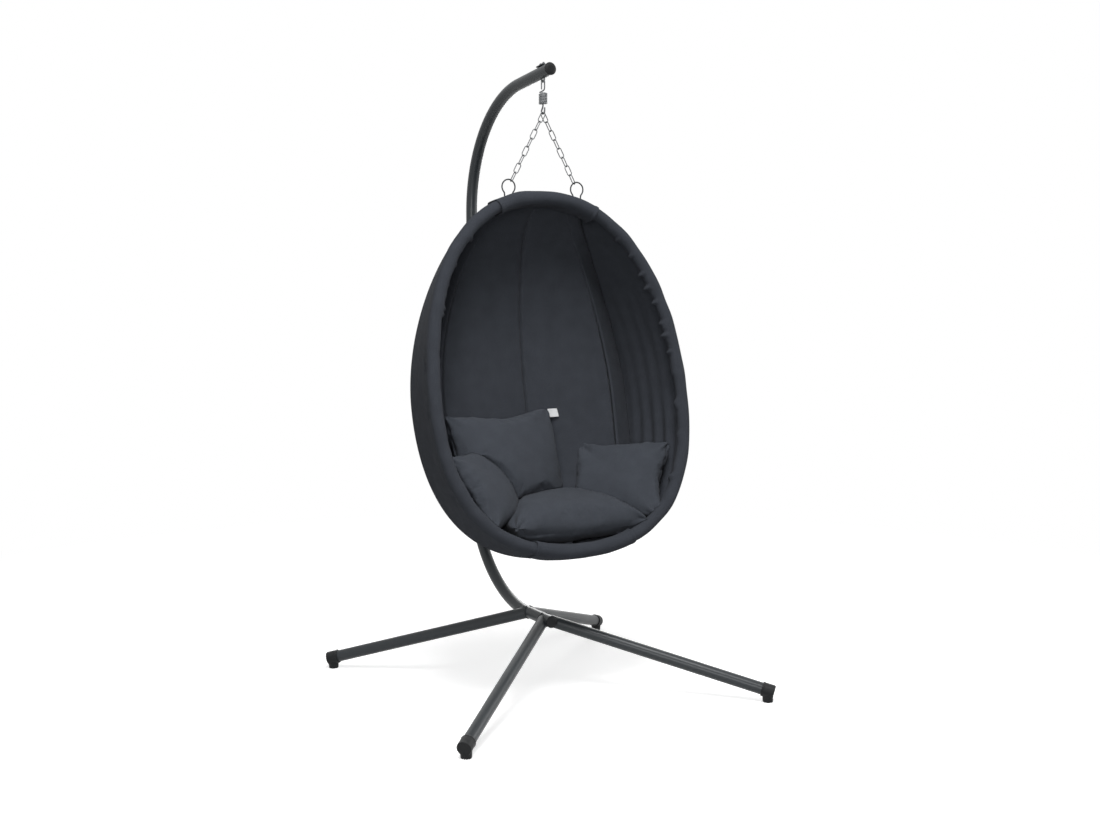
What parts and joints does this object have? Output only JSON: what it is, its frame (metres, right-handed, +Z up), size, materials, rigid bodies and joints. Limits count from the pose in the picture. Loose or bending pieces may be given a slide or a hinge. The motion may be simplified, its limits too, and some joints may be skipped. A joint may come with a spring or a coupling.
{
  "type": "hanging egg chair",
  "caption": "Hanging lounge chair: a padded egg-shaped fabric pod with loose cushions, hung by chains and a sprung hook from a C-shaped tube stand on splayed legs.",
  "frame": {"origin": "on the floor, under the middle of the four feet", "axes": "+Z up, the chair faces -Y, its left side in the picture is -X"},
  "size_m": [1.1002, 1.0881, 1.9829],
  "materials": {
    "stand_paint": "satin powder coat, dark anthracite",
    "plastic": "matte black moulded plastic",
    "plated_wire": "zinc plated",
    "frame_steel": "dark coated steel",
    "cover_cloth": "plain woven polyester, anthracite",
    "cushion_cloth": "plain woven polyester, anthracite, filled",
    "label_cloth": "blank light grey woven tab"
  },
  "bodies": {
    "stand": {"pole": "stand_paint", "front_left_leg": "stand_paint", "front_right_leg": "stand_paint", "rear_left_leg": "stand_paint", "rear_right_leg": "stand_paint", "hanging_saddle": "stand_paint", "pole_foot_cap": "plastic", "pole_tip_cap": "plastic", "front_left_foot": "plastic", "front_right_foot": "plastic", "rear_left_foot": "plastic", "rear_right_foot": "plastic", "hanging_bolt": "plated_wire", "front_nut": "plated_wire", "rear_nut": "plated_wire"},
    "spring": {"spring": "plated_wire"},
    "swivel_plug": {"swivel_plug": "plated_wire"},
    "hook": {"lower_hook": "plated_wire"},
    "chains": {"left_link_1": "plated_wire", "left_link_2": "plated_wire", "left_link_3": "plated_wire", "left_link_4": "plated_wire", "left_link_5": "plated_wire", "left_link_6": "plated_wire", "left_link_7": "plated_wire", "left_link_8": "plated_wire", "right_link_1": "plated_wire", "right_link_2": "plated_wire", "right_link_3": "plated_wire", "right_link_4": "plated_wire", "right_link_5": "plated_wire", "right_link_6": "plated_wire", "right_link_7": "plated_wire", "right_link_8": "plated_wire"},
    "pod": {"left_hoop_tube": "frame_steel", "left_rib_tube": "frame_steel", "left_ring": "frame_steel", "left_hoop_sleeve": "cover_cloth", "left_rib_sleeve": "cover_cloth", "left_side_panel": "cover_cloth", "left_back_panel": "cover_cloth", "left_arm_cushion": "cushion_cloth", "right_hoop_tube": "frame_steel", "right_rib_tube": "frame_steel", "right_ring": "frame_steel", "right_hoop_sleeve": "cover_cloth", "right_rib_sleeve": "cover_cloth", "right_side_panel": "cover_cloth", "right_back_panel": "cover_cloth", "right_arm_cushion": "cushion_cloth", "top_cuff": "cover_cloth", "bottom_cuff": "cover_cloth", "seat_cushion": "cushion_cloth", "back_cushion": "cushion_cloth", "label": "label_cloth"}
  },
  "joints": [
    {"name": "side_swing", "type": "hinge", "parent": "stand", "child": "spring", "pos_m": [0, -0.013, 1.9224], "axis": [0, 1, 0], "range_deg": [-12, 12]},
    {"name": "spring_bounce", "type": "slide", "parent": "spring", "child": "swivel_plug", "axis": [0, 0, 1], "range_m": [-0.045, 0], "stiffness_N_per_m": 27500, "springref_m": 0.0085, "deforming": ["spring"]},
    {"name": "pod_swivel", "type": "hinge", "parent": "swivel_plug", "child": "hook", "pos_m": [0, -0.013, 1.861], "axis": [0, 0, 1], "range_deg": [-30, 30]},
    {"name": "fore_aft_swing", "type": "hinge", "parent": "hook", "child": "chains", "pos_m": [0, -0.013, 1.8339], "axis": [1, 0, 0], "range_deg": [-12, 5]},
    {"name": "pod_rock", "type": "hinge", "parent": "chains", "child": "pod", "pos_m": [0, -0.013, 1.6142], "axis": [1, 0, 0], "range_deg": [-4, 4]}
  ]
}
